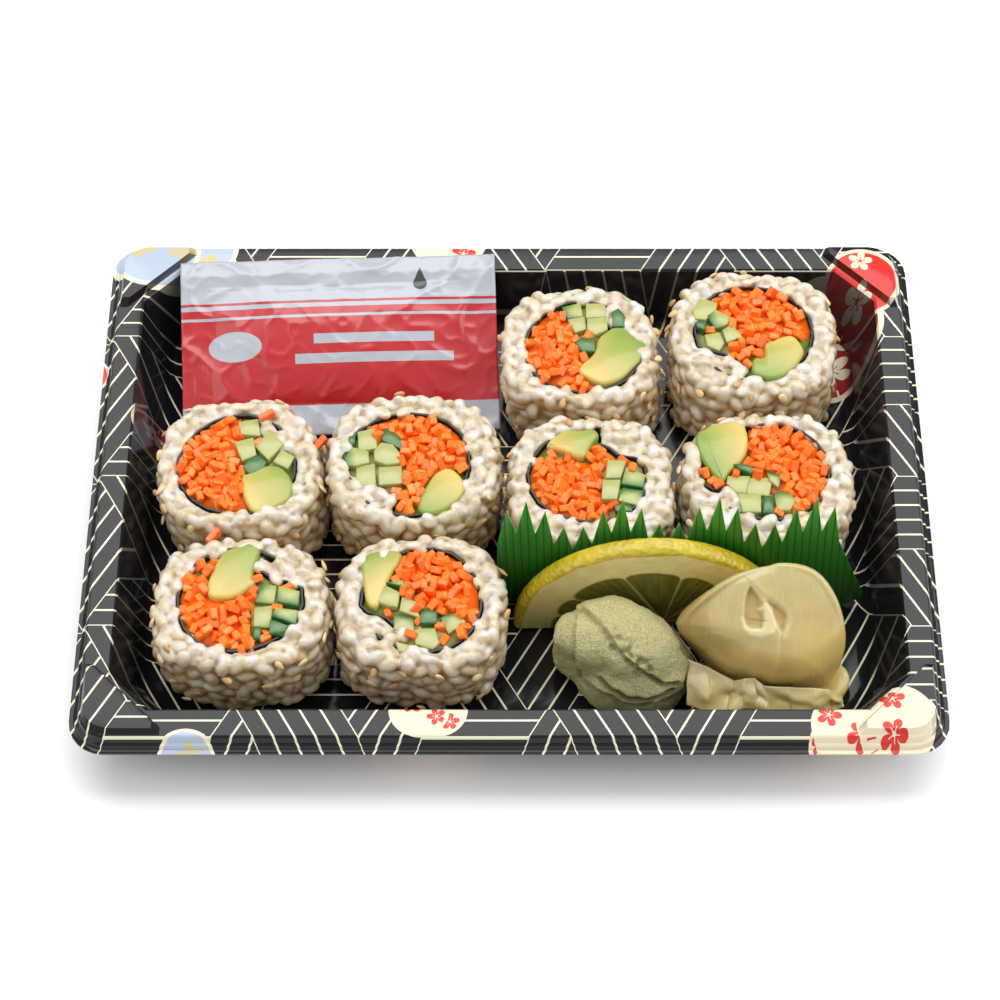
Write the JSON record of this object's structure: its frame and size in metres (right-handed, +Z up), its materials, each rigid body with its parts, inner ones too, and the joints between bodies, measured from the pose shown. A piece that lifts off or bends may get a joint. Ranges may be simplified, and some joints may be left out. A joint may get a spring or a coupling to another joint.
{
  "type": "takeaway sushi tray",
  "caption": "Black takeaway tray of inside-out rolls cut to show carrot, cucumber and avocado, with a sauce sachet, grass divider, lemon half slice, wasabi and pickled ginger.",
  "frame": {"origin": "middle of the tray's footprint, on the surface it stands on", "axes": "+X along the tray's length to the eater's right, +Y away from the eater, +Z up"},
  "size_m": [0.216, 0.156, 0.0483],
  "materials": {
    "tray": "glossy black formed sheet with a pale gold line print",
    "sachet_film": "printed film, satin",
    "divider_film": "green film with fine upright ribs",
    "rice": "moist cooked rice",
    "nori": "dark damp seaweed sheet",
    "carrot": "raw carrot shreds, moist",
    "cucumber": "cucumber sticks, moist",
    "avocado": "avocado, smooth cut face",
    "lemon": "lemon rind and wet flesh",
    "wasabi": "grainy paste",
    "ginger": "pickled ginger, wet and see-through at its rims"
  },
  "bodies": {
    "root": {"tray": "tray", "sachet": "sachet_film", "divider": "divider_film", "lemon": "lemon", "wasabi": "wasabi", "ginger_slice_left": "ginger", "ginger_slice_right": "ginger", "ginger_bunch": "ginger", "roll_1_rice": "rice", "roll_1_nori": "nori", "roll_1_carrot": "carrot", "roll_1_cucumber": "cucumber", "roll_1_avocado": "avocado", "roll_2_rice": "rice", "roll_2_nori": "nori", "roll_2_carrot": "carrot", "roll_2_cucumber": "cucumber", "roll_2_avocado": "avocado", "roll_3_rice": "rice", "roll_3_nori": "nori", "roll_3_carrot": "carrot", "roll_3_cucumber": "cucumber", "roll_3_avocado": "avocado", "roll_4_rice": "rice", "roll_4_nori": "nori", "roll_4_carrot": "carrot", "roll_4_cucumber": "cucumber", "roll_4_avocado": "avocado", "roll_5_rice": "rice", "roll_5_nori": "nori", "roll_5_carrot": "carrot", "roll_5_cucumber": "cucumber", "roll_5_avocado": "avocado", "roll_6_rice": "rice", "roll_6_nori": "nori", "roll_6_carrot": "carrot", "roll_6_cucumber": "cucumber", "roll_6_avocado": "avocado", "roll_7_rice": "rice", "roll_7_nori": "nori", "roll_7_carrot": "carrot", "roll_7_cucumber": "cucumber", "roll_7_avocado": "avocado", "roll_8_rice": "rice", "roll_8_nori": "nori", "roll_8_carrot": "carrot", "roll_8_cucumber": "cucumber", "roll_8_avocado": "avocado"}
  },
  "joints": []
}
